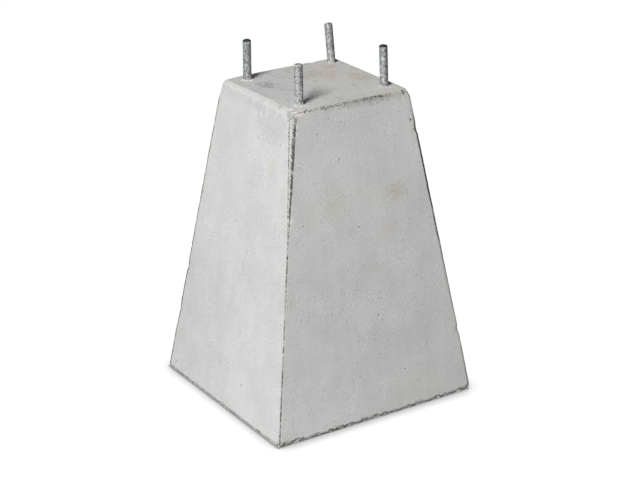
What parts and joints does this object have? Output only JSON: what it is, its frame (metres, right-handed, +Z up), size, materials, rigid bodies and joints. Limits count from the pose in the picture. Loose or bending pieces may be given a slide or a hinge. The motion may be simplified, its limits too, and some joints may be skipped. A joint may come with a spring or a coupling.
{
  "type": "cast concrete column base block",
  "caption": "Tapered cast concrete foundation block with threaded rods standing out of its flat top, to carry the foot plate of a column or post.",
  "frame": {"origin": "middle of the underside, on the surface that the block stands on", "axes": "+Z up, out of the top; +X out of the face at the picture's right; -Y out of the face at the picture's left"},
  "size_m": [0.334, 0.348, 0.5427],
  "materials": {
    "concrete": "fair-faced cast concrete, smooth, sandy and matt, with stained top",
    "galvanised_steel": "dull spangled zinc with cement splashes"
  },
  "bodies": {
    "root": {"concrete_block": "concrete", "threaded_rod_left": "galvanised_steel", "threaded_rod_front": "galvanised_steel", "threaded_rod_back": "galvanised_steel", "threaded_rod_right": "galvanised_steel"}
  },
  "joints": []
}
